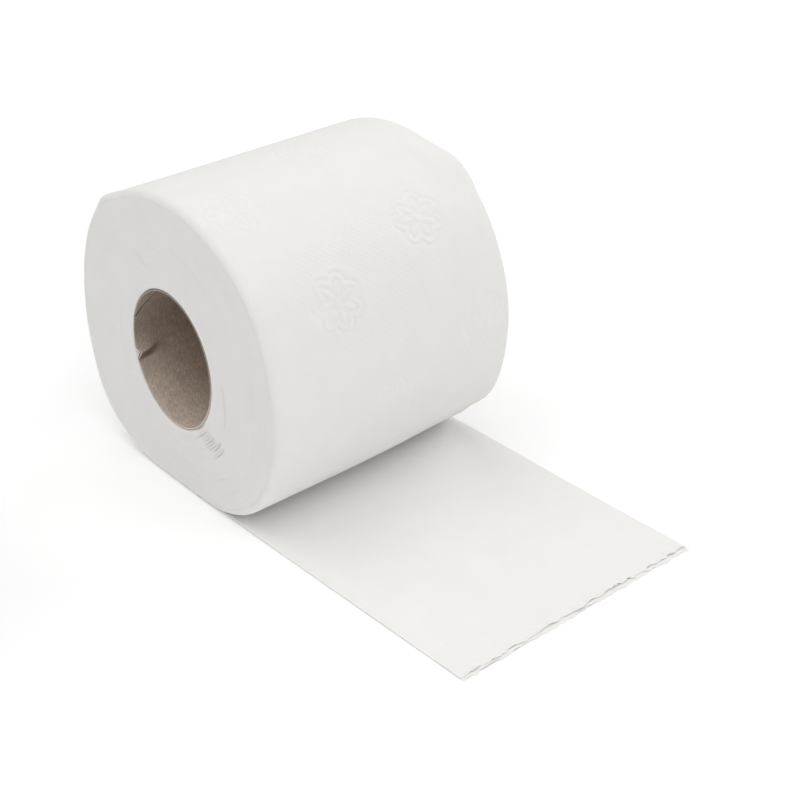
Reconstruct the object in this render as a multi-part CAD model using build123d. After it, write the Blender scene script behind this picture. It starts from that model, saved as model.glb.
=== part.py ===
"""Toilet paper roll lying on its side, with its last sheet rolled out on the floor.

Frame: the origin is the middle of the core's bore, on its axis. +Y runs along the axis,
+Z is up and +X is the way that the loose sheet runs out. Millimetres.
"""
import os
from math import cos, pi, radians, sin

from build123d import *

# Paper: width of the sheets and thickness of one of their two plies, as it lies
sheet_width = 98.0
ply_thickness = 0.3
ply_count = 2

# Section of the soft roll: each half is a crown, a shoulder, a side and a corner arc, and the
# angles are those above the level at which one arc runs into the next
crown_height = 56.7
crown_radius = 59.3
shoulder_radius = 41.9
crown_end = 56.0
shoulder_end = 25.0
side_end = -19.0
end_rounding = 2.0
end_facets = 3

# The roll has sat itself a flat spot. The core's axis stands this high over the floor, and has
# shifted from the roll's middle
flat_spot_width = 26.9
axis_height = 48.3
core_shift = 1.5

# Cardboard core, set back a little from the ends of the roll, with a nick in its front rim
core_radius = 23.4
core_wall = 0.8
core_recess = 0.5
nick_width = 3.6
nick_depth = 1.4
nick_angle = 195.0

# Turns that show on the ends of the roll, as one spiral groove
turn_count = 5
turn_groove_width = 0.5
turn_groove_depth = 0.6
turn_inner_land = 1.8
turn_outer_land = 4.0

# Loose sheet: where it joins the roll and ends, how far it lies askew, and its torn perforation
tail_root = 10.0
tail_reach = 135.4
tail_skew = 1.7
tail_end_slant = 2.1
ply_stagger = 1.3
tooth_pitch = 4.9
tooth_width = 1.5
tooth_length = 0.5

# Worked out from the sizes above
half_width = sheet_width / 2
floor_z = -axis_height
bore_radius = core_radius - core_wall
core_length = sheet_width - 2 * core_recess

# Sections are drawn on the back end's plane, and run from there to the front end
BACK_END = Plane.XZ.offset(-half_width)


def towards(angle: float) -> Vector:
    """Give the unit vector in the section's plane at an angle in radians above the level."""
    return Vector(cos(angle), 0, sin(angle))


def section_arcs() -> list[tuple[Vector, float, float, float]]:
    """Work out the right half of the roll's section as centres, radii and end angles of its arcs.

    Each arc runs on smoothly from the one before it. The side's and the corner's radii are the
    two that bring the half round to the end of the flat spot, level with the floor.
    """
    ends = [radians(angle) for angle in (crown_end, shoulder_end, side_end)]
    centre = Vector(core_shift, 0, crown_height - crown_radius)
    side_top = (centre + towards(ends[0]) * crown_radius
                + (towards(ends[1]) - towards(ends[0])) * shoulder_radius)
    gap = Vector(core_shift + flat_spot_width / 2, 0, floor_z) - side_top
    side = towards(ends[2]) - towards(ends[1])
    corner = towards(-pi / 2) - towards(ends[2])
    side_radius = gap.cross(corner).Y / side.cross(corner).Y
    corner_radius = side.cross(gap).Y / side.cross(corner).Y
    radii = [crown_radius, shoulder_radius, side_radius, corner_radius]
    arcs = []
    start = pi / 2
    for i, end in enumerate([*ends, -pi / 2]):
        if i > 0:
            centre += towards(start) * (radii[i - 1] - radii[i])
        arcs.append((centre, radii[i], start, end))
        start = end
    return arcs


def arc_edge(centre: Vector, radius: float, start: float, end: float) -> Edge:
    """Make an arc on the back end's plane between two angles in radians."""
    points = [centre + towards(angle) * radius for angle in (start, (start + end) / 2, end)]
    return ThreePointArc(*[point + Vector(0, half_width, 0) for point in points])


def roll_section(inset: float, setback: float) -> Face:
    """Make the roll's section, a soft round that lies flat on the floor.

    It is drawn in from the full section by the inset, and lies the setback in from the back end.
    """
    right = [arc_edge(centre, radius - inset, start, end)
             for centre, radius, start, end in section_arcs()]
    middle = Plane((core_shift, 0, 0), x_dir=(0, 1, 0), z_dir=(1, 0, 0))
    left = [edge.mirror(middle) for edge in reversed(right)]
    flat = Line(right[-1] @ 1, left[0] @ 1)
    return Pos(0, -setback, 0) * Face(Wire([*right, flat, *left]))


def turn_arcs(offset: float) -> list[Edge]:
    """Make the winding line as quarter arcs, from the core out, moved out by an offset.

    The line starts round the core and ends round the roll's own middle, so each arc's centre
    moves on, along the line of the joint between it and the arc before it.
    """
    side_centre, side, _, _ = section_arcs()[2]
    roll_half_width = side_centre.X - core_shift + side
    roll_half_height = (crown_height + axis_height) / 2
    quarters = 4 * turn_count
    middle = Vector(core_shift, 0, (crown_height - axis_height) / 2)
    inner_radius = core_radius + turn_inner_land
    outer_radius = min(roll_half_width, roll_half_height) - turn_outer_land
    growth = (outer_radius - inner_radius) / quarters
    arcs = []
    centre = Vector(0, 0, 0)
    radius = inner_radius
    for i in range(quarters):
        start = i * pi / 2
        end = start + pi / 2
        arcs.append(arc_edge(centre, radius + offset, start, end))
        step = growth - middle.dot(towards(end)) * 2 / quarters
        centre -= towards(end) * step
        radius += step
    return arcs


def turn_groove() -> Face:
    """Make the spiral strip that the groove between the turns covers, on the back end's plane."""
    near = turn_arcs(-turn_groove_width / 2)
    far = turn_arcs(turn_groove_width / 2)
    caps = [Line(near[0] @ 0, far[0] @ 0), Line(near[-1] @ 1, far[-1] @ 1)]
    return Face(Wire([*near, *far, *caps]))


def wound_paper() -> Part:
    """Make the wound turns, with facets that round off the ends, and the hole for the core."""
    turns = [i * pi / 2 / end_facets for i in range(end_facets + 1)]
    steps = [(end_rounding * (1 - sin(turn)), end_rounding * (1 - cos(turn))) for turn in turns]
    back = [roll_section(inset, setback) for inset, setback in steps]
    front = [roll_section(inset, sheet_width - setback) for inset, setback in reversed(steps)]
    roll = loft([*back, *front], ruled=True)
    return roll - Cylinder(core_radius, 2 * sheet_width, rotation=(90, 0, 0))


def torn_ply(reach: float, level: float) -> Part:
    """Make one ply of the loose sheet, with the tabs that its torn perforation left.

    Its first corner lies under the roll's front end, and it turns about that corner by the skew.
    """
    length = reach + tail_root
    tooth_count = int((sheet_width - tooth_width) // tooth_pitch)
    first_tooth = (sheet_width - (tooth_count - 1) * tooth_pitch) / 2
    edge = [(0.0, 0.0), (length, 0.0)]
    for i in range(tooth_count):
        middle = first_tooth + i * tooth_pitch
        edge += [(length, middle - tooth_width / 2), (length + tooth_length, middle - tooth_width / 4),
                 (length + tooth_length, middle + tooth_width / 4), (length, middle + tooth_width / 2)]
    edge += [(length, sheet_width), (0.0, sheet_width)]
    slant = sin(radians(tail_end_slant))
    plan = [(x + (slant * (y - half_width) if x > 0 else 0.0), y) for x, y in edge]
    ply = extrude(make_face(Polyline(*plan, close=True)), amount=ply_thickness)
    return Pos(-tail_root, -half_width, floor_z + level) * Rot(0, 0, tail_skew) * ply


def paper() -> Part:
    """Make the roll's turns and the loose sheet as the one web of paper that they are."""
    web = wound_paper()
    for layer in range(ply_count):
        stagger = ply_stagger * (ply_count - 1 - layer)
        web += torn_ply(tail_reach + stagger, layer * ply_thickness)
    groove = turn_groove()
    web -= extrude(groove, amount=turn_groove_depth, dir=(0, -1, 0))
    return web - extrude(Pos(0, -sheet_width, 0) * groove, amount=turn_groove_depth, dir=(0, 1, 0))


def core_tube() -> Part:
    """Make the cardboard core, with the nick in its front rim."""
    tube = Cylinder(core_radius, core_length, rotation=(90, 0, 0))
    tube -= Cylinder(bore_radius, 2 * sheet_width, rotation=(90, 0, 0))
    front = -core_length / 2
    notch = make_face(Polyline((-nick_width / 2, front), (0, front + nick_depth),
                               (nick_width / 2, front), close=True))
    cutter = extrude(notch, amount=2 * core_wall, both=True)
    aim = Rot(0, -nick_angle, 0) * Pos(core_radius, 0, 0) * Rot(0, 90, 0)
    return tube - aim * cutter


def main() -> None:
    """Write one STEP file for each piece."""
    os.makedirs("parts", exist_ok=True)
    pieces = {"paper": paper(), "core_tube": core_tube()}
    for name, shape in pieces.items():
        shape.label = name
        export_step(shape, f"parts/{name}.step")


main()
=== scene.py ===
"""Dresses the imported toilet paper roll: embossed two-ply tissue on a grey board core.

The roll lies on its side with its last sheet rolled out flat along a pale studio floor. Sizes
are in millimetres in the classes below, and are turned to metres where a mesh is placed. The
frame is the CAD's: +Y along the core, +Z up and +X the way that the loose sheet runs out.
"""
from __future__ import annotations

import logging
from dataclasses import dataclass, field
from enum import Enum
from math import cos, pi, radians, sin
from typing import Callable

import bmesh
import bpy
import numpy as np
from mathutils import Matrix, Vector

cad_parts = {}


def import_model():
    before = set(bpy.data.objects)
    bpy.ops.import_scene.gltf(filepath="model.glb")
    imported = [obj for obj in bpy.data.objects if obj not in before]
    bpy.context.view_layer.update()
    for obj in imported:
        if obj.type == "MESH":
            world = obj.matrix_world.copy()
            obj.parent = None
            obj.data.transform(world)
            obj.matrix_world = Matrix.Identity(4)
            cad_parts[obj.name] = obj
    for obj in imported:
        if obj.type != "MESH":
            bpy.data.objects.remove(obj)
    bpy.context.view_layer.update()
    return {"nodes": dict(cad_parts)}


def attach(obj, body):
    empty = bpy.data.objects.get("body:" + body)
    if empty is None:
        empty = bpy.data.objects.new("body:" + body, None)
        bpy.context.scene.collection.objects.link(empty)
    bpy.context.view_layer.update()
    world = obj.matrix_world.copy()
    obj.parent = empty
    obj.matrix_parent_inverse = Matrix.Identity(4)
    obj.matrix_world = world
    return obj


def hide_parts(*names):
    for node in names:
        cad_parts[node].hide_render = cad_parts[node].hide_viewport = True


log = logging.getLogger("toilet_roll")

MM = 0.001
BODY = "root"
SHEET_WIDTH = 98.0
SHEET_LENGTH = 125.0
# Places nearer to each other than this count as one, and edges steeper than this are sharp
NEAR = 0.001
STEEP = radians(50.0)
SMOOTH = {"interpolation_type": "SMOOTHSTEP"}
Array = np.ndarray
Pair = tuple[float, float]
Triple = tuple[float, float, float]
Tree = bpy.types.NodeTree
Node = bpy.types.Node
Shell = bmesh.types.BMesh


def linear(hex_colour: str) -> tuple[float, float, float, float]:
    """Turn an sRGB colour into the linear one that shaders take.

    Args:
        hex_colour: Six hex digits, such as "F2F2F0".

    Returns:
        Linear red, green and blue, and an alpha of 1.
    """
    parts = [int(hex_colour[i:i + 2], 16) / 255 for i in (0, 2, 4)]
    values = [v / 12.92 if v <= 0.04045 else ((v + 0.055) / 1.055) ** 2.4 for v in parts]
    return (values[0], values[1], values[2], 1.0)


def add_node(tree: Tree, kind: str, settings: dict | None = None, values: dict | None = None,
             links: dict | None = None) -> Node:
    """Add a node with its settings and links.

    Args:
        tree: The node tree that the node goes into.
        kind: The node's type name.
        settings: The node's own properties, by name.
        values: Unlinked inputs' values, by socket name or number.
        links: Output sockets that feed the node's inputs, by socket name or number.

    Returns:
        The new node.
    """
    node = tree.nodes.new(kind)
    for name, setting in (settings or {}).items():
        setattr(node, name, setting)
    for socket, value in (values or {}).items():
        node.inputs[socket].default_value = value
    for socket, source in (links or {}).items():
        tree.links.new(source, node.inputs[socket])
    return node


def start_material(name: str, values: dict) -> tuple[bpy.types.Material, Tree, Node]:
    """Start a material.

    Args:
        name: The material's name.
        values: What is the same all over the surface, by the shader's socket name.

    Returns:
        The material, its node tree and its shader.
    """
    material = bpy.data.materials.new(name)
    material.use_nodes = True
    shader = material.node_tree.nodes["Principled BSDF"]
    for socket, value in values.items():
        shader.inputs[socket].default_value = value
    return material, material.node_tree, shader


def smooth_step(values: Array, low: float, high: float) -> Array:
    """Rise smoothly from 0 at the low value to 1 at the high one."""
    t = np.clip((values - low) / (high - low), 0.0, 1.0)
    return t * t * (3 - 2 * t)


def degrees_off(turn: Array, middle: Array | float) -> Array:
    """Give how far angles in radians lie from one in degrees, between -180 and 180 degrees."""
    return np.mod(np.degrees(turn) - middle + 180, 360) - 180


# Finishes


class Follows(Enum):
    """What a pattern on a material follows."""

    WEB = "the sheet's own UV map, across and along the web"
    PLACE = "the object's own coordinates"


@dataclass(frozen=True)
class CrepedTissue:
    """Bleached creped tissue: matt, soft and slightly translucent, with fine crepe ridges.

    The crepe comes from scraping the web off its drying cylinder, so its ridges run across the
    web. On the cut ends of the roll only a loose fibre grain is left. Loose fibres on the surface
    give a faint sheen at its edges.
    """

    name: str = "creped_tissue"
    follows: Follows = Follows.WEB
    colour: str = "F6F5F3"
    shade: str = "F1F0ED"
    roughness: float = 0.95
    ior: float = 1.47
    specular: float = 0.25
    sheen: float = 0.06
    sheen_roughness: float = 0.6
    crepe_spacing: float = 0.45
    crepe_run: float = 2.6
    crepe_height: float = 0.035
    fibre_grain: float = 0.22
    fibre_height: float = 0.03
    cloud_size: float = 9.0

    def make(self) -> bpy.types.Material:
        """Make the material.

        Returns:
            The material.
        """
        material, tree, shader = start_material(self.name, {
            "Roughness": self.roughness, "IOR": self.ior, "Specular IOR Level": self.specular,
            "Sheen Weight": self.sheen, "Sheen Roughness": self.sheen_roughness})
        place = add_node(tree, "ShaderNodeTexCoord")
        web = self.follows is Follows.WEB
        source = place.outputs["UV" if web else "Object"]
        ridge = (self.crepe_run, self.crepe_spacing, 1.0) if web else (self.fibre_grain,) * 3
        grain = add_node(tree, "ShaderNodeMapping", None,
                         {"Scale": tuple(1 / (size * MM) for size in ridge)}, {"Vector": source})
        normal = {}
        for scale, vector, height in ((1.0, grain.outputs["Vector"], self.crepe_height),
                                      (1 / (self.fibre_grain * MM), source, self.fibre_height)):
            noise = add_node(tree, "ShaderNodeTexNoise", None,
                             {"Scale": scale, "Detail": 2.0}, {"Vector": vector})
            bump = add_node(tree, "ShaderNodeBump", None,
                            {"Strength": 1.0, "Distance": height * MM},
                            {"Height": noise.outputs["Fac"], **normal})
            normal = {"Normal": bump.outputs["Normal"]}
        cloud = add_node(tree, "ShaderNodeTexNoise", None,
                         {"Scale": 1 / (self.cloud_size * MM), "Detail": 4.0},
                         {"Vector": place.outputs["Object"]})
        tone = add_node(tree, "ShaderNodeMix", {"data_type": "RGBA"},
                        {6: linear(self.shade), 7: linear(self.colour)},
                        {0: cloud.outputs["Fac"]})
        tree.links.new(tone.outputs[2], shader.inputs["Base Color"])
        tree.links.new(normal["Normal"], shader.inputs["Normal"])
        return material


@dataclass(frozen=True)
class Mottle:
    """A tone that shows where a noise in the board runs high, or low.

    Attributes:
        noise: The noise's name.
        levels: The noise's values where the tone sets in and where it is fullest.
        share: How much of the tones before it gives way to it where it is fullest.
        colour: The tone.
    """

    noise: str
    levels: Pair
    share: float
    colour: str


@dataclass(frozen=True)
class GreyBoard:
    """Recycled grey board: matt and brownish grey, with flecks and long fibres in the sheet.

    It is made from mixed waste paper in plies, which gives it its dull colour, its dark and pale
    flecks and a grain along the strip that was wound into the tube. The strip's edges meet in a
    dark seam with a paler margin, and the seam's dark line also holds the shade of the step where
    the edges overlap, painted in. The cut ends are paler, where the inner plies show. Shade is
    painted in as well: the board is darker in the upper half of the tube than in the lower, and a
    painted shadow lies under the fold beside the nick.

    Attributes:
        painted_shade_levels: The heights between which the board's own tone gives way to the shade
            painted into the upper tube.
        fold_shadow_place: Where the painted shadow's crest meets the nick.
        fold_shadow_size: The painted shadow's reach to the right, back along the tube and down from
            its crest.
        fold_shadow_lean: How far its crest rises to the back, in degrees.
        fold_shadow_fades: How it fades below and over its crest, to the back and to the right, each
            as the axis, the shares of its size where it is gone and full, and how full it gets.
    """

    name: str = "grey_board"
    ground: str = "B6A699"
    pale: str = "F1E8DE"
    cut: str = "DCD8CE"
    # Dark seam: the joint between the strip's edges, with the shade in their overlapping step
    # painted into it
    seam: str = "2E2721"
    # Painted shade: the board's colour is multiplied by this in the upper tube, where less light
    # reaches
    upper: str = "C4C0BD"
    # Painted shadow under the fold beside the nick, where the fold's lower flank faces down
    painted_fold_shadow: str = "4A3B30"
    mottles: tuple[Mottle, ...] = (
        Mottle("fibre", (0.35, 0.7), 1.0, "E9D8C8"), Mottle("fleck", (0.58, 0.74), 0.7, "F1E8DE"),
        Mottle("fleck", (0.4, 0.3), 0.8, "B6A699"), Mottle("cloud", (0.48, 0.68), 0.5, "B6A699"),
    )
    roughness: float = 0.9
    specular: float = 0.3
    fibre_width: float = 0.3
    fibre_length: float = 2.2
    fibre_height: float = 0.05
    fleck_size: float = 0.6
    cloud_size: float = 4.0
    strip_width: float = 66.8
    seam_width: float = 0.42
    margin: float = 6.0
    margin_share: float = 0.3
    painted_shade_levels: Pair = (-20.0, 6.0)
    # Where the shadow painted under the fold lies, and how it fades
    fold_shadow_place: Triple = (-20.6, -48.4, -6.6)
    fold_shadow_size: Triple = (6.0, 8.5, 3.2)
    fold_shadow_lean: float = 15.0
    fold_shadow_fades: tuple[tuple[str, float, float, float], ...] = (
        ("Z", -1.1, -0.4, 0.7), ("Z", 0.12, -0.02, 1.0),
        ("Y", 1.3, 0.4, 1.0), ("X", 0.95, 0.6, 1.0),
    )
    tube_length: float = 97.0
    band_reach: float = 2.6
    band_share: float = 0.12
    rim_levels: Pair = (0.55, 0.7)

    def make(self) -> bpy.types.Material:
        """Make the material.

        Returns:
            The material.
        """
        material, tree, shader = start_material(
            self.name, {"Roughness": self.roughness, "Specular IOR Level": self.specular})
        place = add_node(tree, "ShaderNodeTexCoord")
        grain = (1 / (self.fibre_length * MM), 1 / (self.fibre_width * MM), 1.0)
        along = add_node(tree, "ShaderNodeMapping", None, {"Scale": grain},
                         {"Vector": place.outputs["UV"]})
        noises = {}
        for name, scale, detail, roughness, source in (
                ("fibre", 1.0, 3.0, 0.6, along.outputs["Vector"]),
                ("fleck", 1 / (self.fleck_size * MM), 2.0, 0.5, place.outputs["Object"]),
                ("cloud", 1 / (self.cloud_size * MM), 3.0, 0.5, place.outputs["Object"])):
            noise = add_node(tree, "ShaderNodeTexNoise", None,
                             {"Scale": scale, "Detail": detail, "Roughness": roughness},
                             {"Vector": source})
            noises[name] = noise.outputs["Fac"]
        layers = []
        for mottle in self.mottles:
            share = add_node(tree, "ShaderNodeMapRange", None,
                             {"From Min": mottle.levels[0], "From Max": mottle.levels[1],
                              "To Max": mottle.share}, {"Value": noises[mottle.noise]})
            layers.append((share, mottle.colour, "MIX"))
        margin, seam = self.strip(tree, place)
        band, rim = self.ends(tree, place)
        layers += [(margin, self.cut, "MIX"), (band, self.pale, "MIX"),
                   # The mark under the fold is a painted shadow
                   (self.mark(tree, place), self.painted_fold_shadow, "MIX"), (seam, self.seam, "MIX"),
                   # The last layer paints shade into the upper half of the tube, by height
                   (rim, self.cut, "MIX"), (self.level(tree, place), self.upper, "MULTIPLY")]
        values, links = {6: linear(self.ground)}, {}
        for share, colour, blend in layers:
            tone = add_node(tree, "ShaderNodeMix", {"data_type": "RGBA", "blend_type": blend},
                            {7: linear(colour), **values}, {0: share.outputs[0], **links})
            values, links = {}, {6: tone.outputs[2]}
        bump = add_node(tree, "ShaderNodeBump", None,
                        {"Strength": 1.0, "Distance": self.fibre_height * MM},
                        {"Height": noises["fibre"]})
        tree.links.new(tone.outputs[2], shader.inputs["Base Color"])
        tree.links.new(bump.outputs["Normal"], shader.inputs["Normal"])
        return material

    def strip(self, tree: Tree, place: Node) -> tuple[Node, Node]:
        """Find the paler margin of the wound strip, and the dark seam where its edges meet, which
        carries the shade of their overlapping step painted in.

        Args:
            tree: The material's node tree.
            place: Its texture coordinates.

        Returns:
            The nodes that give the margin and the seam.
        """
        spot = add_node(tree, "ShaderNodeSeparateXYZ", None, None, {0: place.outputs["UV"]})
        edge = self.strip_width * MM
        across = add_node(tree, "ShaderNodeMath", {"operation": "WRAP"}, {1: edge, 2: 0.0},
                          {0: spot.outputs["Y"]})
        margin = add_node(tree, "ShaderNodeMapRange", SMOOTH,
                          {"From Min": edge - self.margin * MM, "From Max": edge,
                           "To Max": self.margin_share}, {"Value": across.outputs[0]})
        # The seam's line: the joint, with the shade of its step painted in
        seam = add_node(tree, "ShaderNodeMath", {"operation": "LESS_THAN"},
                        {1: self.seam_width * MM}, {0: across.outputs[0]})
        return margin, seam

    def ends(self, tree: Tree, place: Node) -> tuple[Node, Node]:
        """Find the band of wall near the tube's ends, and the cut rims themselves.

        Args:
            tree: The material's node tree.
            place: Its texture coordinates.

        Returns:
            The nodes that give the band and the rims.
        """
        reaches = []
        for source in ("Object", "Normal"):
            parts = add_node(tree, "ShaderNodeSeparateXYZ", None, None, {0: place.outputs[source]})
            reaches.append(add_node(tree, "ShaderNodeMath", {"operation": "ABSOLUTE"}, None,
                                    {0: parts.outputs["Y"]}))
        end = self.tube_length / 2
        band = add_node(tree, "ShaderNodeMapRange", SMOOTH,
                        {"From Min": (end - self.band_reach) * MM, "From Max": end * MM,
                         "To Max": self.band_share}, {"Value": reaches[0].outputs[0]})
        low, high = self.rim_levels
        rim = add_node(tree, "ShaderNodeMapRange", None, {"From Min": low, "From Max": high},
                       {"Value": reaches[1].outputs[0]})
        return band, rim

    def mark(self, tree: Tree, place: Node) -> Node:
        """Find the shadow painted under the fold: crisp along its crest, and soft below and behind.

        Args:
            tree: The material's node tree.
            place: Its texture coordinates.

        Returns:
            The node that gives the painted shadow.
        """
        spot = add_node(tree, "ShaderNodeMapping", {"vector_type": "TEXTURE"},
                        {"Location": tuple(value * MM for value in self.fold_shadow_place),
                         "Rotation": (radians(self.fold_shadow_lean), 0.0, 0.0),
                         "Scale": tuple(value * MM for value in self.fold_shadow_size)},
                        {"Vector": place.outputs["Object"]})
        parts = add_node(tree, "ShaderNodeSeparateXYZ", None, None, {0: spot.outputs["Vector"]})
        fades = [add_node(tree, "ShaderNodeMapRange", SMOOTH,
                          {"From Min": gone, "From Max": full, "To Max": most},
                          {"Value": parts.outputs[axis]})
                 for axis, gone, full, most in self.fold_shadow_fades]
        share = fades[0]
        for fade in fades[1:]:
            share = add_node(tree, "ShaderNodeMath", {"operation": "MULTIPLY"}, None,
                             {0: share.outputs[0], 1: fade.outputs[0]})
        return share

    def level(self, tree: Tree, place: Node) -> Node:
        """Find how high in the tube a place lies, from 0 to 1, which sets where the shade painted
        into the upper tube falls.

        Args:
            tree: The material's node tree.
            place: Its texture coordinates.

        Returns:
            The node that gives the height.
        """
        spot = add_node(tree, "ShaderNodeSeparateXYZ", None, None, {0: place.outputs["Object"]})
        low, high = self.painted_shade_levels
        return add_node(tree, "ShaderNodeMapRange", SMOOTH,
                        {"From Min": low * MM, "From Max": high * MM}, {"Value": spot.outputs["Z"]})


@dataclass(frozen=True)
class StudioPaper:
    """Plain matt background paper for the floor, lit a little from below."""

    name: str = "studio_paper"
    colour: str = "FDFDFD"
    glow: float = 0.09

    def make(self) -> bpy.types.Material:
        """Make the material.

        Returns:
            The material.
        """
        return start_material(self.name, {
            "Base Color": linear(self.colour), "Roughness": 1.0, "Specular IOR Level": 0.0,
            "Emission Color": (1, 1, 1, 1), "Emission Strength": self.glow})[0]


# Shapes that the pieces share


@dataclass
class RollSection:
    """Soft round section of the roll, from the same values as the solid's.

    Each half is a crown, a shoulder, a side and a corner arc, and a flat spot joins the halves on
    the floor. The section is walked clockwise as the front end shows it, from the top.
    """

    crown_height: float = 56.7
    crown_radius: float = 59.3
    shoulder_radius: float = 41.9
    crown_end: float = 56.0
    shoulder_end: float = 25.0
    side_end: float = -19.0
    flat_spot_width: float = 26.9
    axis_height: float = 48.3
    core_shift: float = 1.5
    samples: int = 400
    table: Array = field(init=False)
    length: float = field(init=False)
    flat_start: float = field(init=False)

    def __post_init__(self) -> None:
        """Work out the walk once."""
        angles, points = [], []
        for centre, radius, start, end in self.arcs():
            turn = np.linspace(start, end, self.samples)
            angles.append(turn)
            points.append(centre + radius * np.column_stack([np.cos(turn), np.sin(turn)]))
        right_angle = np.concatenate(angles)
        right = np.vstack(points)
        left = right[::-1] * (-1, 1) + (2 * self.core_shift, 0)
        left_angle = -pi - right_angle[::-1]
        path = np.vstack([right, left])
        turn = np.concatenate([right_angle, left_angle])
        steps = np.hypot(*np.diff(path, axis=0).T)
        walked = np.concatenate([[0.0], np.cumsum(steps)])
        self.table = np.column_stack([walked, path, turn])
        self.length = float(walked[-1])
        self.flat_start = float(walked[len(right) - 1])

    def arcs(self) -> list[tuple[Array, float, float, float]]:
        """Work out the right half's arcs.

        Returns:
            Each arc's centre in the section's plane, its radius, and its two end angles.
        """
        ends = [radians(angle) for angle in (self.crown_end, self.shoulder_end, self.side_end)]
        aims = [np.array([cos(angle), sin(angle)]) for angle in ends]
        centre = np.array([self.core_shift, self.crown_height - self.crown_radius])
        side_top = centre + aims[0] * self.crown_radius + (aims[1] - aims[0]) * self.shoulder_radius
        gap = np.array([self.core_shift + self.flat_spot_width / 2, -self.axis_height]) - side_top
        basis = np.column_stack([aims[2] - aims[1], np.array([0.0, -1.0]) - aims[2]])
        side_radius, corner_radius = np.linalg.solve(basis, gap)
        radii = [self.crown_radius, self.shoulder_radius, side_radius, corner_radius]
        arcs, start = [], pi / 2
        for i, end in enumerate([*ends, -pi / 2]):
            if i > 0:
                centre = centre + aims[i - 1] * (radii[i - 1] - radii[i])
            arcs.append((centre, radii[i], start, end))
            start = end
        return arcs

    def at(self, walked: Array) -> tuple[Array, Array, Array]:
        """Find points of the section by the distance walked from the top.

        Args:
            walked: Distances, which may go past a whole turn.

        Returns:
            The points' x and z, and the angle that the surface there faces.
        """
        around = np.mod(walked, self.length)
        x, z, turn = (np.interp(around, self.table[:, 0], self.table[:, i]) for i in (1, 2, 3))
        return x, z, turn


@dataclass
class Unevenness:
    """Slow swells of a soft surface, the same on each run.

    Attributes:
        period: The distance after which the swells repeat along the web.
        height: The largest swell, in millimetres.
        orders: The swells' lowest and highest number of waves in a period.
        count: How many swells add up, which together rarely pass half their number.
        lean: How far their phase changes over a millimetre across the web, at most.
    """

    period: float
    height: float
    orders: tuple[int, int] = (2, 9)
    count: int = 12
    lean: float = 0.06
    seed: int = 5

    def at(self, across: Array, along: Array) -> Array:
        """Give the swell at places on the web.

        Args:
            across: Places across the web, in millimetres.
            along: Places along it.

        Returns:
            How far the surface swells out, in millimetres.
        """
        draw = np.random.default_rng(self.seed)
        total = np.zeros_like(across)
        for _ in range(self.count):
            order = draw.integers(self.orders[0], self.orders[1] + 1)
            lean = draw.uniform(-self.lean, self.lean)
            phase, share = draw.uniform(0, 2 * pi), draw.uniform(0.3, 1.0)
            total += share * np.sin(2 * pi * order * along / self.period + lean * across + phase)
        return total * self.height / (0.5 * self.count)


@dataclass(frozen=True)
class Dent:
    """A soft place where the roll stands proud of its section, or short of it.

    Attributes:
        across: Its middle along the roll's axis, and its spread.
        angle: Its middle round the roll, in degrees, and its spread.
        height: How far it stands proud, in millimetres, or short, below 0.
    """

    across: Pair
    angle: Pair
    height: float

    def at(self, across: Array, turn: Array) -> Array:
        """Give its height at places on the roll."""
        return self.height * np.exp(-((across - self.across[0]) / self.across[1]) ** 2
                                    - (degrees_off(turn, self.angle[0]) / self.angle[1]) ** 2)


@dataclass
class SoftSurface:
    """How the outside of the roll departs from its plain section.

    Attributes:
        swell: Its slow swells.
        dents: Where it stands proud or short.
        lips: Where its last turns stick out past the back end, by the dents' heights.
        crisp: Where the embossing is at its crispest: by the photo's two blossoms, and on the left.
        dull_share: The share of its depth that the embossing keeps elsewhere.
    """

    swell: Unevenness
    dents: tuple[Dent, ...] = (
        Dent((49.0, 22.0), (5.0, 26.0), 1.1),
        Dent((49.0, 28.0), (-45.0, 13.0), -1.6),
        Dent((49.0, 12.0), (45.0, 13.0), 0.7),
        Dent((49.0, 7.0), (64.0, 10.0), 1.7),
        Dent((40.6, 3.4), (71.0, 10.0), 0.7),
        Dent((-49.0, 24.0), (-140.0, 22.0), 1.8),
        Dent((-49.0, 9.0), (129.0, 8.0), 1.3),
    )
    lips: tuple[Dent, ...] = (Dent((49.0, 9.0), (62.0, 10.0), 1.5),)
    crisp: tuple[Dent, ...] = (Dent((1.5, 34.0), (37.0, 24.0), 1.8),
                               Dent((0.0, 400.0), (190.0, 60.0), 1.5))
    dull_share: float = 0.22

    def at(self, across: Array, along: Array, turn: Array) -> Array:
        """Give how far the surface stands proud of the section, in millimetres."""
        return self.swell.at(across, along) + sum(dent.at(across, turn) for dent in self.dents)

    def overhang(self, across: Array, turn: Array) -> Array:
        """Give how far the last turns stick out past the back end, in millimetres."""
        return sum(lip.at(across, turn) for lip in self.lips)

    def relief_share(self, across: Array, turn: Array) -> Array:
        """Give the share of its full depth that the embossing has."""
        crisp = np.minimum(sum(place.at(across, turn) for place in self.crisp), 1.0)
        return self.dull_share + (1 - self.dull_share) * crisp


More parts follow.
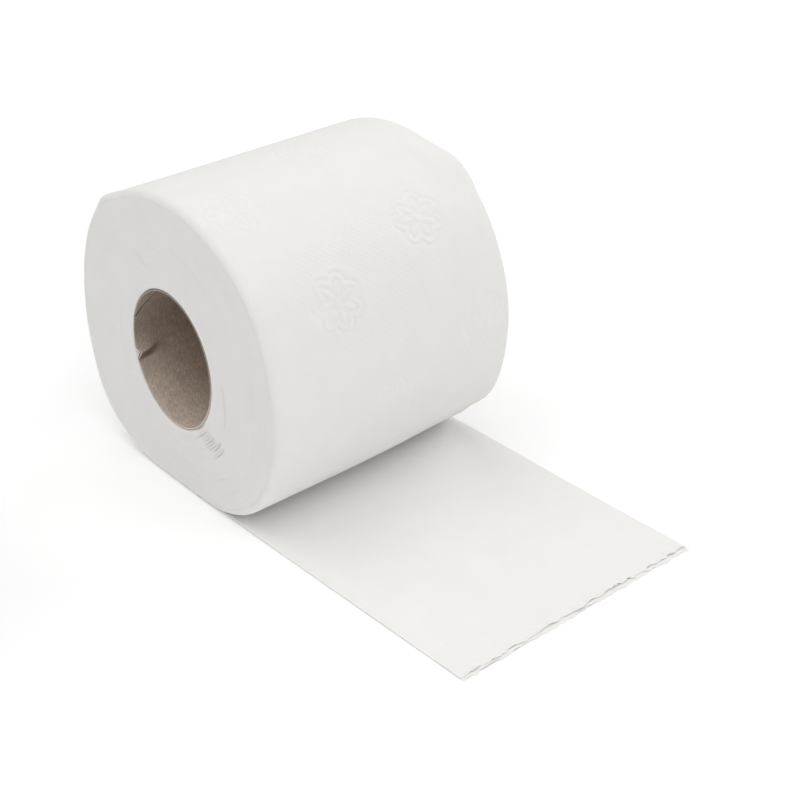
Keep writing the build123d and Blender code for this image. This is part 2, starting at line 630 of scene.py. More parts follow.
@dataclass
class Embossing:
    """Pattern that is pressed into the tissue: plain scalloped blossoms among fine dots.

    Attributes:
        first: A blossom's middle, across and along the web.
        row: The step from one blossom to the next, across and along.
    """

    first: Pair
    row: Pair = (40.8, -16.2)
    petals: int = 7
    lobe_middle: float = 6.5
    lobe_radius: float = 3.3
    lobe_start: float = 0.55
    petal_start: float = 1.6
    petal_end: float = 7.6
    petal_half_width: float = 1.45
    line_width: float = 0.46
    line_depth: float = 0.36
    dot_pitch: float = 1.6
    dot_depth: float = 0.22
    clear_radius: Pair = (11.0, 12.5)

    def blossom(self, across: Array, along: Array) -> Array:
        """Draw the lines of a blossom.

        Args:
            across: Places round its middle, across the web.
            along: Places along the web.

        Returns:
            How strongly the lines mark the places, from 0 to 1.
        """
        reach = np.hypot(across, along)
        sector = 2 * pi / self.petals
        aim = np.mod(np.arctan2(along, across) + sector / 2, sector) - sector / 2
        out, side = reach * np.cos(aim), np.abs(reach * np.sin(aim))
        scallop = np.abs(np.hypot(out - self.lobe_middle, side) - self.lobe_radius)
        drawn = (out > self.lobe_middle) | (side > self.lobe_start * self.lobe_radius)
        scallop = np.where(drawn, scallop, np.inf)
        length = self.petal_end - self.petal_start
        part = np.clip((out - self.petal_start) / length, 0.0, 1.0)
        half = self.petal_half_width * 4 * part * (1 - part) * (0.75 + 0.5 * part)
        slope = self.petal_half_width * 4 * (1 - 2 * part) / length
        petal = np.abs(side - half) / np.hypot(1.0, slope)
        beyond = np.maximum(self.petal_start - out, out - self.petal_end)
        petal = np.where(beyond > 0, np.hypot(beyond, side), petal)
        return np.exp(-(np.minimum(scallop, petal) / self.line_width) ** 2)

    def at(self, across: Array, along: Array) -> Array:
        """Give the relief of the whole pattern.

        Args:
            across: Places across the web, in millimetres.
            along: Places along it.

        Returns:
            Heights in millimetres, below 0 where the tissue is pressed in.
        """
        step = float(np.hypot(*self.row))
        away, down = across - self.first[0], along - self.first[1]
        unit = (self.row[0] / step, self.row[1] / step)
        over = away * unit[0] + down * unit[1]
        under = -away * unit[1] + down * unit[0]
        over, under = (value - step * np.round(value / step) for value in (over, under))
        line = self.blossom(over, under)
        wave = 2 * pi / (self.dot_pitch * np.sqrt(2))
        dots = 0.25 * (1 + np.cos(wave * (across + along))) * (1 + np.cos(wave * (across - along)))
        clear = smooth_step(np.hypot(over, under), *self.clear_radius)
        return -self.line_depth * line - self.dot_depth * clear * dots


def add_object(name: str, data: bpy.types.ID) -> bpy.types.Object:
    """Add an object to the scene.

    Args:
        name: Its name.
        data: Its mesh, light or camera.

    Returns:
        The object, at the origin.
    """
    thing = bpy.data.objects.new(name, data)
    bpy.context.scene.collection.objects.link(thing)
    return thing


def flat_grid(counts: tuple[int, int], low: Pair, high: Pair) -> Shell:
    """Start a smooth shell as a flat grid.

    Args:
        counts: The number of its columns and rows.
        low: Its low corner.
        high: Its high corner.

    Returns:
        The shell.
    """
    shell = bmesh.new()
    bmesh.ops.create_grid(shell, x_segments=counts[0], y_segments=counts[1], size=0.5)
    bmesh.ops.scale(shell, vec=(high[0] - low[0], high[1] - low[1], 1), verts=shell.verts[:])
    middle = ((low[0] + high[0]) / 2, (low[1] + high[1]) / 2, 0)
    bmesh.ops.translate(shell, vec=middle, verts=shell.verts[:])
    for face in shell.faces:
        face.smooth = True
    return shell


def crease(shell: Shell) -> None:
    """Make a shell's edges sharp where its faces meet at a steep angle.

    Args:
        shell: The shell.
    """
    for edge in shell.edges:
        if edge.is_manifold and edge.calc_face_angle(0.0) > STEEP:
            edge.smooth = False


def finish_piece(name: str, shell: Shell, place: Callable[[Array], Array],
                 merge: bool = False) -> bpy.types.Object:
    """Turn a shell that is drawn flat, in a piece's own millimetres, into the placed piece.

    The flat places become its UV map, in metres, so that a pattern can follow the surface.

    Args:
        name: The piece's name.
        shell: The flat shell, which is used up.
        place: Takes flat places, one in each row, and gives them in the row frame, in millimetres.
        merge: Whether edges that come to lie on each other are joined.

    Returns:
        The new object, at the origin, with its place in its mesh.
    """
    shell.verts.ensure_lookup_table()
    flat = np.array([vert.co[:] for vert in shell.verts])
    placed = place(flat) * MM
    layer = shell.loops.layers.uv.new("web")
    for face in shell.faces:
        for loop in face.loops:
            spot = flat[loop.vert.index]
            loop[layer].uv = (spot[0] * MM, spot[1] * MM)
    for vert, spot in zip(shell.verts, placed):
        vert.co = spot
    if merge:
        bmesh.ops.remove_doubles(shell, verts=shell.verts[:], dist=NEAR * MM)
    bmesh.ops.recalc_face_normals(shell, faces=shell.faces[:])
    if shell.calc_volume(signed=True) < 0:
        bmesh.ops.reverse_faces(shell, faces=shell.faces[:])
    mesh = bpy.data.meshes.new(name)
    shell.to_mesh(mesh)
    shell.free()
    log.info("%s: %d vertices, %d faces", name, len(mesh.vertices), len(mesh.polygons))
    return add_object(name, mesh)


def dress(piece: bpy.types.Object, material: bpy.types.Material,
          node: str) -> bpy.types.Object:
    """Give a piece its material, hang it on the body that it rides on and hide the CAD node that it
    replaces.

    Args:
        piece: The piece.
        material: Its material.
        node: The CAD node that it replaces.

    Returns:
        The same piece.
    """
    piece.data.materials.append(material)
    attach(piece, BODY)
    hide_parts(node)
    return piece


# Paper


@dataclass
class OuterTurn:
    """One length of the outermost turn of tissue, with its embossing.

    It carries the turns just under it, so that it is a closed shell, and it bends over the soft
    rims at both ends of the roll.

    Attributes:
        start: Where it starts along the web, as a distance from the roll's top.
        end: Where it ends.
        cut: Where a line of perforation crosses the web.
        lift: How far its lowest part stays over the floor, where the loose sheet lies under it.
        spacing: The spacing of its mesh.
    """

    name: str
    section: RollSection
    embossing: Embossing
    surface: SoftSurface
    start: float
    end: float
    cut: float
    lift: float = 0.0
    width: float = SHEET_WIDTH
    rim_radius: float = 2.0
    thickness: float = 0.35
    spacing: float = 0.5
    cut_pitch: float = 4.9
    cut_share: float = 0.7
    cut_width: float = 0.3
    cut_depth: float = 0.05

    def build(self) -> bpy.types.Object:
        """Build the length.

        Returns:
            Its piece.
        """
        half = self.width / 2 - self.rim_radius + self.rim_radius * pi / 2
        counts = (round(2 * half / self.spacing), round((self.end - self.start) / self.spacing))
        shell = flat_grid(counts, (-half, self.start), (half, self.end))
        rims = [edge for edge in shell.edges
                if all(abs(vert.co.x) > half - NEAR for vert in edge.verts)]
        drawn = bmesh.ops.extrude_edge_only(shell, edges=rims)["geom"]
        moved = [item for item in drawn if isinstance(item, bmesh.types.BMVert)]
        bmesh.ops.translate(shell, vec=(0, 0, -self.thickness), verts=moved)
        lower = [item for item in drawn if isinstance(item, bmesh.types.BMEdge)
                 and all(vert.co.z < -self.thickness / 2 for vert in item.verts)]
        bmesh.ops.bridge_loops(shell, edges=lower)
        for face in bmesh.ops.holes_fill(shell, edges=shell.edges[:], sides=0)["faces"]:
            face.smooth = False
        return finish_piece(self.name, shell, self.place)

    def perforation(self, across: Array, along: Array) -> Array:
        """Give how far the cuts of the line of perforation sink the surface."""
        slit = np.mod(across, self.cut_pitch) < self.cut_share * self.cut_pitch
        return self.cut_depth * np.exp(-((along - self.cut) / self.cut_width) ** 2) * slit

    def place(self, flat: Array) -> Array:
        """Wrap the flat shell round the roll and over its rims.

        Args:
            flat: Places across and along the web and over it, one in each row.

        Returns:
            The places in the row frame, in millimetres.
        """
        across, along, depth = flat.T
        straight = self.width / 2 - self.rim_radius
        over = np.clip((np.abs(across) - straight) / self.rim_radius, 0.0, pi / 2)
        y = np.sign(across) * (np.minimum(np.abs(across), straight)
                               + self.rim_radius * np.sin(over))
        inset = self.rim_radius * (1 - np.cos(over))
        x, z, turn = self.section.at(along)
        top = depth > -self.thickness / 2
        relief = self.embossing.at(y, along) * self.surface.relief_share(y, turn)
        relief = np.where(top, relief * np.cos(over), 0.0)
        relief -= np.where(top, self.perforation(y, along), 0.0)
        out = relief + self.surface.at(y, along, turn) - inset + depth
        z = z + np.sin(turn) * out
        floor = -self.section.axis_height + self.lift
        y = y + self.surface.overhang(y, turn)
        return np.column_stack([x + np.cos(turn) * out, y, np.maximum(z, floor)])


@dataclass(frozen=True)
class CoreBore:
    """The hole that the core fills: round, but pressed a little narrower than it is high.

    Attributes:
        radius: Its radius before it was pressed.
        squash: Its width and height as shares of those of the round hole.
        shift: How far its middle has moved, along X and Z.
    """

    radius: float = 23.4
    squash: Pair = (0.935, 1.052)
    shift: Pair = (-0.35, -0.25)

    def press(self, x: Array, z: Array, share: float) -> tuple[Array, Array]:
        """Press round places, given as shares of the bore's radius, to the soft shape."""
        return (self.shift[0] + x * self.radius * self.squash[0] * share,
                self.shift[1] + z * self.radius * self.squash[1] * share)


@dataclass(frozen=True)
class TurnGap:
    """A place on the roll's end where one turn stands in, or out, further than its neighbours.

    Attributes:
        share: Its place from the core, at 0, to the outside, at 1.
        angle: Its middle round the roll, in degrees.
        spread: How far it runs to each side, in degrees.
        depth: How far it stands in, in millimetres, or out, below 0.
        drift: How its place changes with each degree.
        turns: How many rings it spreads over.
    """

    share: float
    angle: float
    spread: float
    depth: float
    drift: float = 0.0
    turns: float = 0.75

    def at(self, share: Array, turn: Array, rings: int) -> Array:
        """Give how far it sinks the edges of the turns.

        Args:
            share: Places from the core, at 0, to the outside, at 1.
            turn: Their angles round the roll.
            rings: How many rings the end has.

        Returns:
            How far the edges stand in there, in millimetres.
        """
        off = degrees_off(turn, self.angle)
        near = (share - self.share - self.drift * off) * rings / self.turns
        return self.depth * np.exp(-near ** 2) * np.exp(-(off / self.spread) ** 4)


@dataclass
class WoundTurns:
    """The turns of tissue under the outermost ones, cut square at both ends of the roll.

    The edges of the turns show on the ends as fine rings that stand a little in or out.

    Attributes:
        inset: How far they end under the outside of the roll.
        rings: How many rings each end has.
        edge_depth: How far every second ring stands in.
        stray: Half the height, at most, of each wave in which a ring strays in.
        stray_orders: How many times each of those waves comes round the roll.
        rim_rounding: How far the ring by the core stands in.
        rounded_rings: How many rings that takes to die away.
        flush: The shares of the end between which the rings give way to the flush outer turns.
        lip: The shares between which the rear end starts to follow the last turns' overhang.
        gaps: Turns of the front end that stand in or out further.
        fan_angle: The middle of the front end's folded turns round the roll, in degrees.
        fan_spread: How far they run to each side, in degrees.
        fan_scatter: How far each one's middle strays, in degrees.
        fan_reach: How far out they reach, as a share.
        fan_depth: How deep they are at most.
    """

    section: RollSection
    surface: SoftSurface
    bore: CoreBore
    width: float = SHEET_WIDTH
    inset: float = 2.3
    rings: int = 84
    around: int = 300
    edge_depth: float = 0.04
    stray: float = 0.032
    stray_orders: tuple[int, ...] = (0, 1, 2, 3, 5)
    rim_rounding: float = 0.5
    rounded_rings: float = 1.2
    flush: Pair = (0.93, 1.0)
    lip: Pair = (0.7, 1.0)
    gaps: tuple[TurnGap, ...] = (
        TurnGap(0.235, -8.0, 15.0, 1.0, -0.0028), TurnGap(0.10, 30.0, 20.0, 0.2),
        TurnGap(0.33, 114.0, 6.0, 0.4, 0.02), TurnGap(0.86, 117.0, 5.0, 0.3),
        TurnGap(0.3, -116.0, 14.0, -0.25), TurnGap(0.34, -108.0, 9.0, -0.2),
        TurnGap(0.62, -58.0, 8.0, 0.3), TurnGap(0.8, -52.0, 10.0, 0.3),
        TurnGap(0.45, 170.0, 26.0, 0.18), TurnGap(0.55, 60.0, 30.0, 0.16),
        TurnGap(0.7, 10.0, 34.0, 0.16), TurnGap(0.9, -20.0, 30.0, 0.2),
    )
    fan_angle: float = -46.0
    fan_spread: float = 7.0
    fan_scatter: float = 4.0
    fan_reach: float = 0.39
    fan_depth: float = 1.1

    def build(self) -> bpy.types.Object:
        """Build the closed ring of turns.

        Returns:
            Its piece.
        """
        columns = 2 * self.rings + 2
        shell = flat_grid((columns, self.around), (0.0, 0.0), (columns, 1.0))
        return finish_piece("wound_turns", shell, self.place, merge=True)

    def edges(self, ring: Array, turn: Array, front: bool) -> Array:
        """Find where the edges of the turns lie.

        Args:
            ring: Rings, counted from the core.
            turn: Angles round the roll.
            front: Whether it is the front end, which the photo shows.

        Returns:
            How far the edges stand in from the end of the roll, in millimetres.
        """
        draw = np.random.default_rng(1 if front else 2)
        count = self.rings + 1
        index = ring.astype(int)
        share = ring / self.rings
        sunk = np.where(index % 2, self.edge_depth, 0.0)
        for order in self.stray_orders:
            phase, size = draw.uniform(0, 2 * pi, count), draw.uniform(0, 1, count)
            sunk = sunk + self.stray * size[index] * (1 + np.sin(order * turn + phase[index]))
        if front:
            for gap in self.gaps:
                sunk = sunk + gap.at(share, turn, self.rings)
            scatter = draw.uniform(-self.fan_scatter, self.fan_scatter, count)
            size = draw.uniform(0.2, 1, count)
            off = degrees_off(turn, self.fan_angle + scatter[index])
            folded = (index % 3 == 1) & (share < self.fan_reach)
            fan = size[index] * folded * np.exp(-(off / self.fan_spread) ** 4)
            sunk = sunk + self.fan_depth * fan
        loose = 1 - smooth_step(share, *self.flush)
        return sunk * loose + self.rim_rounding * np.exp(-ring / self.rounded_rings)

    def place(self, flat: Array) -> Array:
        """Lay the flat grid round the section: down one end, along the roll and back.

        Args:
            flat: Stations along that way, and shares of the way round, one in each row.

        Returns:
            The places in the row frame, in millimetres.
        """
        station, part, _ = flat.T
        station = np.round(station)
        bore = station > 2 * self.rings + 1
        front = (station <= self.rings) | bore
        ring = np.where(front, station, 2 * self.rings + 1 - station)
        ring = np.where(bore, 0, ring)
        along = part * self.section.length
        x, z, turn = self.section.at(along)
        end = np.where(front, -1, 1) * self.width / 2
        proud = self.surface.at(end, along, turn) - self.inset
        outer_x, outer_z = x + np.cos(turn) * proud, z + np.sin(turn) * proud
        core_x, core_z = self.bore.press(np.cos(turn), np.sin(turn), 1.0)
        share = ring / self.rings
        sunk = np.where(front, self.edges(ring, turn, True), self.edges(ring, turn, False))
        y = end - np.sign(end) * sunk
        y += self.surface.overhang(end, turn) * smooth_step(share, *self.lip)
        return np.column_stack([core_x + (outer_x - core_x) * share, y,
                                core_z + (outer_z - core_z) * share])


@dataclass(frozen=True)
class Curls:
    """Short irregular lengths of a torn edge that curl up.

    Attributes:
        pitch: Their spacing along the edge.
        slide: How far they shift along the edge with each millimetre from it.
        power: How rare the high ones are.
        share: Their height as a share of the ply's lift.
        reach: How far from the edge they run.
    """

    pitch: float
    slide: float
    power: float
    share: float
    reach: float


@dataclass
class LoosePly:
    """One ply of the last sheet, rolled out on the floor up to its torn perforation.

    Attributes:
        reach: How far its torn edge lies from the sheet's turning corner under the roll.
        level: The height of its underside over the floor.
        lifts: How far its torn edge curls up at most.
        spacing: The spacing of its mesh along the web and across it.
        crowding: The power by which its rows crowd towards the torn edge.
        relief_share: The share of the embossing's depth that is left in it.
        corner: Where it turns by its skew, under the roll's front end.
        start: How far from that corner it comes out of the roll.
        tab_length: How far its torn tabs stand out, at least and at most.
        tab_rise: Where a tab rises, from outside its edge to inside it.
        wander: How far the whole edge wanders back and forth.
        thin_share: The share of its thickness that is left at the torn edge.
        thin_reach: How far from that edge it thins.
        settled_share: The share of its swell that it loses there.
        settled_reach: How far from that edge it loses some.
        free: Where along X it starts to swell freely.
        swell_height: How far it swells there at most.
        swell_waves: The lengths by which that swell's phase runs along X, across and aslant.
        bulge: The middle and spread along X, the reach and the height of its bulge by the roll.
        far_waves: The middle and spread along X, the length and the height of its end's waves.
    """

    name: str
    embossing: Embossing
    reach: float
    level: float
    lifts: float = 0.0
    spacing: Pair = (0.6, 0.5)
    crowding: float = 1.15
    relief_share: float = 0.12
    corner: Pair = (-10.0, -49.0)
    start: float = 19.0
    width: float = SHEET_WIDTH
    thickness: float = 0.16
    axis_height: float = 48.3
    skew: float = 1.7
    end_slant: float = 2.1
    tab_pitch: float = 4.9
    tab_length: Pair = (0.0, 0.45)
    tab_width: Pair = (1.05, 2.7)
    tab_rise: Pair = (-0.35, 0.25)
    hair_length: float = 0.8
    hair_count: int = 150
    wander: Pair = (-0.6, 0.4)
    wander_count: int = 38
    curls: tuple[Curls, ...] = (Curls(2.3, 0.0, 2.5, 1.0, 1.1), Curls(0.9, 0.5, 1.0, 0.4, 1.6))
    thin_share: float = 0.25
    thin_reach: float = 1.2
    settled_share: float = 0.8
    settled_reach: float = 5.0
    free: Pair = (16.0, 40.0)
    swell_height: float = 0.35
    swell_waves: Triple = (17.0, 23.0, 60.0)
    bulge: tuple[float, float, float, float] = (22.0, 8.0, 5.0, 0.9)
    far_waves: tuple[float, float, float, float] = (134.0, 9.0, 9.0, 0.25)
    seed: int = 3

    def build(self) -> bpy.types.Object:
        """Build the ply.

        Returns:
            Its piece.
        """
        counts = (round(self.width / self.spacing[1]),
                  round((self.reach - self.start) / self.spacing[0]))
        shell = flat_grid(counts, (0.0, 0.0), (self.width, counts[1]))
        bmesh.ops.solidify(shell, geom=shell.faces[:], thickness=self.thickness)
        low = min(vert.co.z for vert in shell.verts)
        bmesh.ops.translate(shell, vec=(0, 0, -low), verts=shell.verts[:])
        crease(shell)
        return finish_piece(self.name, shell, self.place)

    def fringe(self, across: Array) -> Array:
        """Tear the edge: a tab at each bond, loose fibres between them, and a slow wander.

        Args:
            across: Places across the sheet, in millimetres.

        Returns:
            How far the torn edge stands out there, in millimetres.
        """
        draw = np.random.default_rng(self.seed)
        count = int(self.width / self.tab_pitch) + 2
        lengths = draw.uniform(*self.tab_length, count)
        widths = draw.uniform(*self.tab_width, count)
        first = self.width / 2 % self.tab_pitch - self.tab_pitch
        index = np.clip(np.round((across - first) / self.tab_pitch).astype(int), 0, count - 1)
        off = np.abs(across - first - index * self.tab_pitch)
        out = lengths[index] * smooth_step(widths[index] / 2 - off, *self.tab_rise)
        hairs = self.hair_length * draw.uniform(0, 1, self.hair_count) ** 2
        wander = draw.uniform(*self.wander, self.wander_count)
        for steps in (hairs, wander):
            out = out + np.interp(across, np.linspace(0, self.width, len(steps)), steps)
        return out

    def curl(self, across: Array, short: Array) -> Array:
        """Lift the torn edge in short irregular lengths, and crumple it finely.

        Args:
            across: Places across the sheet, in millimetres.
            short: How far they lie from the torn edge.

        Returns:
            How far the sheet lifts there, in millimetres.
        """
        draw = np.random.default_rng(self.seed + 20)
        total = np.zeros_like(across)
        for curls in self.curls:
            grid = np.arange(-5.0, self.width + 10.0, curls.pitch)
            heights = draw.uniform(0, 1, len(grid)) ** curls.power
            lift = np.interp(across + curls.slide * short, grid, heights)
            total += curls.share * lift * np.exp(-short / curls.reach)
        return self.lifts * total

    def swell(self, across: Array, x: Array) -> Array:
        """Let the sheet swell off the floor: slowly where it is free, more by the roll and end.

        Args:
            across: Places across the sheet, in millimetres.
            x: Where they lie along X.

        Returns:
            How far the sheet stands off the floor, in millimetres.
        """
        along, aside, aslant = self.swell_waves
        slow = np.sin(x / along + 0.8 + across / aslant) * np.cos(across / aside - x / aslant)
        swell = self.swell_height * smooth_step(x, *self.free) * (1 + slow) / 2
        middle, spread, reach, height = self.bulge
        swell += height * np.exp(-across / reach - ((x - middle) / spread) ** 2)
        middle, spread, wave, height = self.far_waves
        end = np.exp(-((x - middle) / spread) ** 2)
        return swell + height * end * (1 + np.cos(across / wave)) / 2

    def place(self, flat: Array) -> Array:
        """Lay the flat shell on the floor, askew, with the torn edge at the far end.

        Args:
            flat: Places across the sheet, its rows and places over it, one in each row.

        Returns:
            The places in the row frame, in millimetres.
        """
        across, row, height = flat.T
        rows = row.max()
        slant = sin(radians(self.end_slant)) * (across - self.width / 2)
        straight = self.reach + slant - self.start
        last = row > rows - 0.5
        inner = 1.0 - np.clip(1.0 - row / (rows - 1), 0.0, 1.0) ** self.crowding
        short = straight * (1.0 - inner)
        out = self.start + straight * inner + np.where(last, self.fringe(across), 0.0)
        turn = radians(self.skew)
        x = self.corner[0] + out * cos(turn) - across * sin(turn)
        y = self.corner[1] + out * sin(turn) + across * cos(turn)
        upper = height > self.thickness / 2
        relief = self.relief_share * self.embossing.at(across - self.width / 2, out)
        thin = self.thin_share + (1 - self.thin_share) * smooth_step(short, 0.0, self.thin_reach)
        settled = 1.0 - self.settled_share * np.exp(-(short / self.settled_reach) ** 2)
        z = -self.axis_height + self.level + height * thin + self.swell(across, x) * settled
        z += self.curl(across, short) + np.where(upper, relief, 0.0)
        return np.column_stack([x, y, z])


# Core


@dataclass
class CoreTube:
    """Wound tube of grey board, with its spiral seam and the nick in its front rim.

    Attributes:
        seam_start: Where the seam meets the front rim, round the tube in degrees.
        seam_pitch: How far along the tube the seam comes round once.
        fold_height: How far the board below the nick is pushed in, as a ridge.
        fold_crest: The ridge's crest at the rim, in degrees, and its change with the depth.
        fold_foot: The end of its lower flank, in the same way.
        fold_spread: How far its upper flank runs, in degrees.
        columns: How many mesh columns its cut ends have between the wall's faces.
        fold_middle: The depth at which the fold is highest.
        rim_gap: How far the rims' outer edges stand in from the tissue.
    """

    outer_radius: float = 23.4
    wall: float = 0.8
    length: float = 97.0
    columns: int = 4
    rows: int = 130
    steps: int = 300
    ply_gap: float = 0.12
    seam_start: float = 158.0
    seam_pitch: float = 75.0
    bore: CoreBore = CoreBore()
    nick_angle: float = 195.0
    nick_width: float = 3.6
    nick_depth: float = 1.4
    nick_reach: float = 1.5
    fold_height: float = 1.8
    fold_crest: Pair = (197.5, -0.85)
    fold_foot: Pair = (200.7, 0.9)
    fold_spread: float = 16.0
    fold_middle: float = 3.5
    fold_reach: float = 4.0
    rim_gap: float = 0.22
    rim_reach: float = 0.8

    def build(self) -> bpy.types.Object:
        """Build the tube by spinning the outline of its wall.

        Returns:
            Its piece.
        """
        end, middle = self.length / 2, self.outer_radius - self.wall / 2
        shell = flat_grid((self.columns, self.rows), (self.outer_radius - self.wall, -end),
                          (self.outer_radius, end))
        for vert in shell.verts:
            if abs(vert.co.y) > end - NEAR and abs(vert.co.x - middle) < NEAR:
                vert.co.y -= self.ply_gap * (1 if vert.co.y > 0 else -1)
        inner = [edge for edge in shell.edges if not edge.is_boundary]
        bmesh.ops.delete(shell, geom=inner, context="EDGES_FACES")
        bmesh.ops.spin(shell, geom=shell.edges[:], cent=(0, 0, 0), axis=(0, 1, 0), angle=2 * pi,
                       steps=self.steps, use_merge=True)
        for face in shell.faces:
            face.smooth = True
        crease(shell)
        piece = finish_piece("core_board", shell, self.place, merge=True)
        self.unroll(piece)
        return piece

    def unroll(self, piece: bpy.types.Object) -> None:
        """Give the placed tube a map that runs along its strip and across it.

        Args:
            piece: The tube's piece.
        """
        layer = piece.data.uv_layers["web"]
        lean = np.arctan2(self.seam_pitch, 2 * pi * self.outer_radius)
        for face in piece.data.polygons:
            corners = [piece.data.vertices[index].co for index in face.vertices]
            turns = [np.mod(np.arctan2(z, x), 2 * pi) for x, _, z in corners]
            for loop, turn, spot in zip(face.loop_indices, turns, corners):
                if max(turns) - min(turns) > pi and turn < pi:
                    turn += 2 * pi
                around = (turn - radians(self.seam_start)) * self.outer_radius * MM
                down = spot[1] + self.length / 2 * MM
                layer.data[loop].uv = (around * cos(lean) - down * sin(lean),
                                       around * sin(lean) + down * cos(lean))

    def fold(self, depth: Array, angle: Array) -> Array:
        """Push the board beside the nick in.

        Args:
            depth: Places along the tube, from its front rim.
            angle: Places round the tube, in degrees.

        Returns:
            How far the board stands in towards the axis there, in millimetres.
        """
        crest, foot = (at + change * depth for at, change in (self.fold_crest, self.fold_foot))
        angle = np.mod(angle, 360)
        rise = smooth_step(angle, crest - self.fold_spread, crest) * (angle <= crest)
        fall = (1 - smooth_step(angle, crest, foot)) * (angle > crest)
        along = np.exp(-((depth - self.fold_middle) / self.fold_reach) ** 2)
        return self.fold_height * (rise + fall) * along

    def place(self, flat: Array) -> Array:
        """Press the nick, the fold beside it and the bore's soft shape into the round tube.

        Args:
            flat: Places on the round tube, one in each row.

        Returns:
            The places in the row frame, in millimetres.
        """
        x, y, z = flat.T
        radius, turn = np.hypot(x, z), np.arctan2(z, x)
        depth = y + self.length / 2
        side = np.radians(degrees_off(turn, self.nick_angle)) * self.outer_radius
        nick = self.nick_depth * np.clip(1 - np.abs(side) / (self.nick_width / 2), 0, 1)
        inside = radius < self.outer_radius - self.wall / 2
        outside = radius > self.outer_radius - self.wall / self.columns / 2
        radius = radius - np.where(inside, self.fold(depth, np.degrees(turn)), 0.0)
        end = np.maximum(np.minimum(depth, self.length - depth), 0)
        radius = radius - np.where(outside, self.rim_gap * np.exp(-end / self.rim_reach), 0.0)
        y = y + nick * np.exp(-depth / self.nick_reach)
        x, z = self.bore.press(np.cos(turn), np.sin(turn), radius / self.outer_radius)
        return np.column_stack([x, y, z])


# Studio


@dataclass(frozen=True)
class Softbox:
    """A large soft light, far off.

    Attributes:
        name: What its place in the studio is called.
        azimuth: Where it stands, in degrees from +X towards +Y.
        elevation: How high it stands over the floor, in degrees.
        share: How bright it makes a white surface that faces it.
    """

    name: str
    azimuth: float
    elevation: float
    share: float


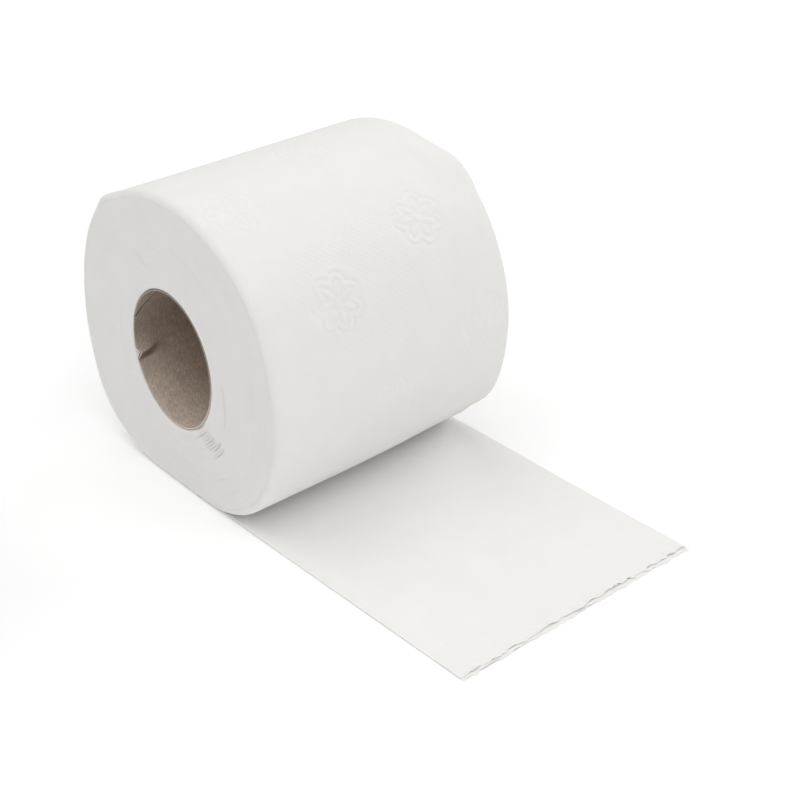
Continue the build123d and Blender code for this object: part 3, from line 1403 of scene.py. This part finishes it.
@dataclass
class Studio:
    """Pale floor, soft light and the camera that took the photograph."""

    azimuth: float = 48.287
    elevation: float = 31.243
    roll: float = 0.653
    aim: Triple = (59.784, -3.114, -5.288)
    distance: float = 508.62
    lens: float = 72.307
    sensor: float = 36.0
    clip: Pair = (10.0, 50000.0)
    floor_level: float = -48.35
    floor_size: float = 40000.0
    sky: float = 0.05
    spread: float = 60.0
    softboxes: tuple[Softbox, ...] = (
        Softbox("left_high", 225.0, 70.0, 0.28), Softbox("right", 0.0, 50.0, 0.395),
        Softbox("left", 180.0, 50.0, 0.165), Softbox("front", 270.0, 50.0, 0.13),
        Softbox("rear", 90.0, 18.0, 0.39),
    )

    def camera(self) -> None:
        """Set up the camera."""
        turn, tilt, roll = (radians(v) for v in (self.azimuth, self.elevation, self.roll))
        back = Vector((sin(turn) * cos(tilt), -cos(turn) * cos(tilt), sin(tilt)))
        level = Vector((cos(turn), sin(turn), 0))
        rise = back.cross(level)
        right = level * cos(roll) + rise * sin(roll)
        up = rise * cos(roll) - level * sin(roll)
        data = bpy.data.cameras.new("studio_camera")
        data.lens, data.sensor_width = self.lens, self.sensor
        data.clip_start, data.clip_end = (distance * MM for distance in self.clip)
        camera = add_object("studio_camera", data)
        camera.matrix_world = Matrix((right, up, back)).transposed().to_4x4()
        camera.location = (Vector(self.aim) + back * self.distance) * MM
        bpy.context.scene.camera = camera

    def floor(self) -> None:
        """Lay the floor."""
        shell = bmesh.new()
        bmesh.ops.create_grid(shell, x_segments=2, y_segments=2, size=self.floor_size * MM / 2)
        bmesh.ops.translate(shell, vec=(0, 0, self.floor_level * MM), verts=shell.verts[:])
        mesh = bpy.data.meshes.new("studio_floor")
        shell.to_mesh(mesh)
        shell.free()
        mesh.materials.append(StudioPaper().make())
        add_object("studio_floor", mesh)

    def light(self) -> None:
        """Light the scene with wide softboxes, in a dim room with pale walls."""
        scene = bpy.context.scene
        scene.view_settings.view_transform = "Standard"
        world = bpy.data.worlds.new("studio_walls")
        world.use_nodes = True
        background = world.node_tree.nodes["Background"]
        background.inputs["Color"].default_value = (1, 1, 1, 1)
        background.inputs["Strength"].default_value = self.sky
        scene.world = world
        for box in self.softboxes:
            data = bpy.data.lights.new(f"softbox_{box.name}", "SUN")
            data.energy = pi * box.share
            data.angle = radians(self.spread)
            light = add_object(data.name, data)
            turn, tilt = radians(box.azimuth), radians(box.elevation)
            towards = Vector((cos(turn) * cos(tilt), sin(turn) * cos(tilt), sin(tilt)))
            light.rotation_mode = "QUATERNION"
            light.rotation_quaternion = towards.to_track_quat("Z", "Y")


def main() -> None:
    """Build the pieces in order, dress them, and set the studio round them."""
    logging.basicConfig(level=logging.INFO, format="%(name)s: %(message)s")
    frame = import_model()
    log.info("frame with the nodes %s", sorted(frame["nodes"]))

    tissue = CrepedTissue().make()
    cut_tissue = CrepedTissue(name="cut_tissue", follows=Follows.PLACE).make()
    board = GreyBoard().make()

    section = RollSection()
    embossing = Embossing(first=(-18.9, 57.0 + section.length))
    surface = SoftSurface(Unevenness(period=section.length, height=0.3))
    # The last turn starts and ends on the flat spot. Its lengths join on the roll's left side and
    # under it, out of the photo's view
    start = section.flat_start + 6.0
    end = start + section.length
    left_joint, low_joint = 300.0, 490.0
    lengths = (("outer_turn_left", start, left_joint, 0.5, 0.0),
               ("outer_turn_right", left_joint, low_joint, 0.45, 0.0),
               ("outer_turn_under", low_joint, end, 0.5, 0.34))
    for name, near, far, spacing, lift in lengths:
        turn = OuterTurn(name, section, embossing, surface, near, far, cut=start + SHEET_LENGTH,
                         lift=lift, spacing=spacing)
        dress(turn.build(), tissue, "paper")
    dress(WoundTurns(section, surface, CoreBore()).build(), cut_tissue, "paper")

    under = LoosePly("loose_sheet_under_ply", embossing, reach=146.7, level=0.0,
                     spacing=(2.5, 0.5), crowding=2.0, lifts=0.15, seed=8)
    upper = LoosePly("loose_sheet_upper_ply", embossing, reach=145.4, level=under.thickness,
                     lifts=0.7)
    for ply in (under, upper):
        piece = dress(ply.build(), tissue, "paper")

    dress(CoreTube().build(), board, "core_tube")

    studio = Studio()
    studio.floor()
    studio.light()
    studio.camera()


if __name__ == "__main__":
    main()
